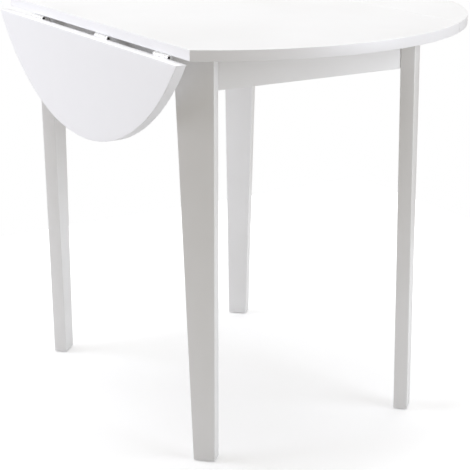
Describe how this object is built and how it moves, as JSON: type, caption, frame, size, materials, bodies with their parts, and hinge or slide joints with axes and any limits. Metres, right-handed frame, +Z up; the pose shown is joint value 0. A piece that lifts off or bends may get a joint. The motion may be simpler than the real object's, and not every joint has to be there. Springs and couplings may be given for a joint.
{
  "type": "drop-leaf table",
  "caption": "Round white drop-leaf table on tapered corner legs, with a leaf hinged along each side and swinging arms that prop a raised leaf.",
  "frame": {"origin": "on the floor, under the centre of the round top", "axes": "+X across the hinge lines, towards the leaf that is raised at rest; +Y along the hinge lines; +Z up"},
  "size_m": [0.7385, 0.9, 0.725],
  "materials": {
    "top_lacquer": "white satin lacquer on fibreboard",
    "frame_lacquer": "white satin lacquer on solid wood",
    "bare_wood": "planed, unfinished",
    "zinc_steel": "bright zinc plate",
    "painted_steel": "white powder coat",
    "nylon": "moulded",
    "glide_plastic": "moulded"
  },
  "bodies": {
    "frame": {"arm_mount_screws": "zinc_steel", "arm_pivot_pins": "zinc_steel", "corner_block_screws": "zinc_steel", "fixed_hinge_screws": "zinc_steel", "foot_glides": "glide_plastic", "front_apron": "frame_lacquer", "front_left_corner_block": "bare_wood", "front_left_leg": "frame_lacquer", "front_right_corner_block": "bare_wood", "front_right_leg": "frame_lacquer", "left_apron": "frame_lacquer", "left_front_arm_mount": "painted_steel", "left_front_hinge_fixed_plate": "zinc_steel", "left_front_hinge_pin": "zinc_steel", "left_middle_hinge_fixed_plate": "zinc_steel", "left_middle_hinge_pin": "zinc_steel", "left_rear_arm_mount": "painted_steel", "left_rear_hinge_fixed_plate": "zinc_steel", "left_rear_hinge_pin": "zinc_steel", "leg_bolts": "zinc_steel", "leg_nuts": "zinc_steel", "leg_washers": "zinc_steel", "rear_apron": "frame_lacquer", "rear_left_corner_block": "bare_wood", "rear_left_leg": "frame_lacquer", "rear_right_corner_block": "bare_wood", "rear_right_leg": "frame_lacquer", "right_apron": "frame_lacquer", "right_front_arm_mount": "painted_steel", "right_front_hinge_fixed_plate": "zinc_steel", "right_front_hinge_pin": "zinc_steel", "right_middle_hinge_fixed_plate": "zinc_steel", "right_middle_hinge_pin": "zinc_steel", "right_rear_arm_mount": "painted_steel", "right_rear_hinge_fixed_plate": "zinc_steel", "right_rear_hinge_pin": "zinc_steel", "top_bracket_screws": "zinc_steel", "top_brackets": "zinc_steel", "top_panel": "top_lacquer"},
    "left_leaf": {"left_front_hinge_moving_plate": "zinc_steel", "left_leaf": "top_lacquer", "left_leaf_screws": "zinc_steel", "left_middle_hinge_moving_plate": "zinc_steel", "left_rear_hinge_moving_plate": "zinc_steel"},
    "right_leaf": {"right_front_hinge_moving_plate": "zinc_steel", "right_leaf": "top_lacquer", "right_leaf_screws": "zinc_steel", "right_middle_hinge_moving_plate": "zinc_steel", "right_rear_hinge_moving_plate": "zinc_steel"},
    "left_front_arm": {"left_front_arm": "painted_steel", "left_front_arm_pad": "nylon"},
    "left_rear_arm": {"left_rear_arm": "painted_steel", "left_rear_arm_pad": "nylon"},
    "right_front_arm": {"right_front_arm": "painted_steel", "right_front_arm_pad": "nylon"},
    "right_rear_arm": {"right_rear_arm": "painted_steel", "right_rear_arm_pad": "nylon"}
  },
  "joints": [
    {"name": "left_leaf_hinge", "type": "hinge", "parent": "frame", "child": "left_leaf", "pos_m": [-0.266, 0, 0.7025], "axis": [0, 1, 0], "range_deg": [0, 90]},
    {"name": "left_front_arm_pivot", "type": "hinge", "parent": "frame", "child": "left_front_arm", "pos_m": [-0.24351, -0.11, 0.657], "axis": [0, 1, 0], "range_deg": [0, 112.5]},
    {"name": "left_rear_arm_pivot", "type": "hinge", "parent": "frame", "child": "left_rear_arm", "pos_m": [-0.24351, 0.11, 0.657], "axis": [0, 1, 0], "range_deg": [0, 112.5]},
    {"name": "right_leaf_hinge", "type": "hinge", "parent": "frame", "child": "right_leaf", "pos_m": [0.266, 0, 0.7025], "axis": [0, 1, 0], "range_deg": [0, 90]},
    {"name": "right_front_arm_pivot", "type": "hinge", "parent": "frame", "child": "right_front_arm", "pos_m": [0.24351, -0.11, 0.657], "axis": [0, 1, 0], "range_deg": [0, 112.5]},
    {"name": "right_rear_arm_pivot", "type": "hinge", "parent": "frame", "child": "right_rear_arm", "pos_m": [0.24351, 0.11, 0.657], "axis": [0, 1, 0], "range_deg": [0, 112.5]}
  ],
  "couplings": [
    {"joint": "left_front_arm_pivot", "follows": "left_leaf_hinge", "ratio": 1.25},
    {"joint": "left_rear_arm_pivot", "follows": "left_leaf_hinge", "ratio": 1.25},
    {"joint": "right_front_arm_pivot", "follows": "right_leaf_hinge", "ratio": 1.25},
    {"joint": "right_rear_arm_pivot", "follows": "right_leaf_hinge", "ratio": 1.25}
  ]
}
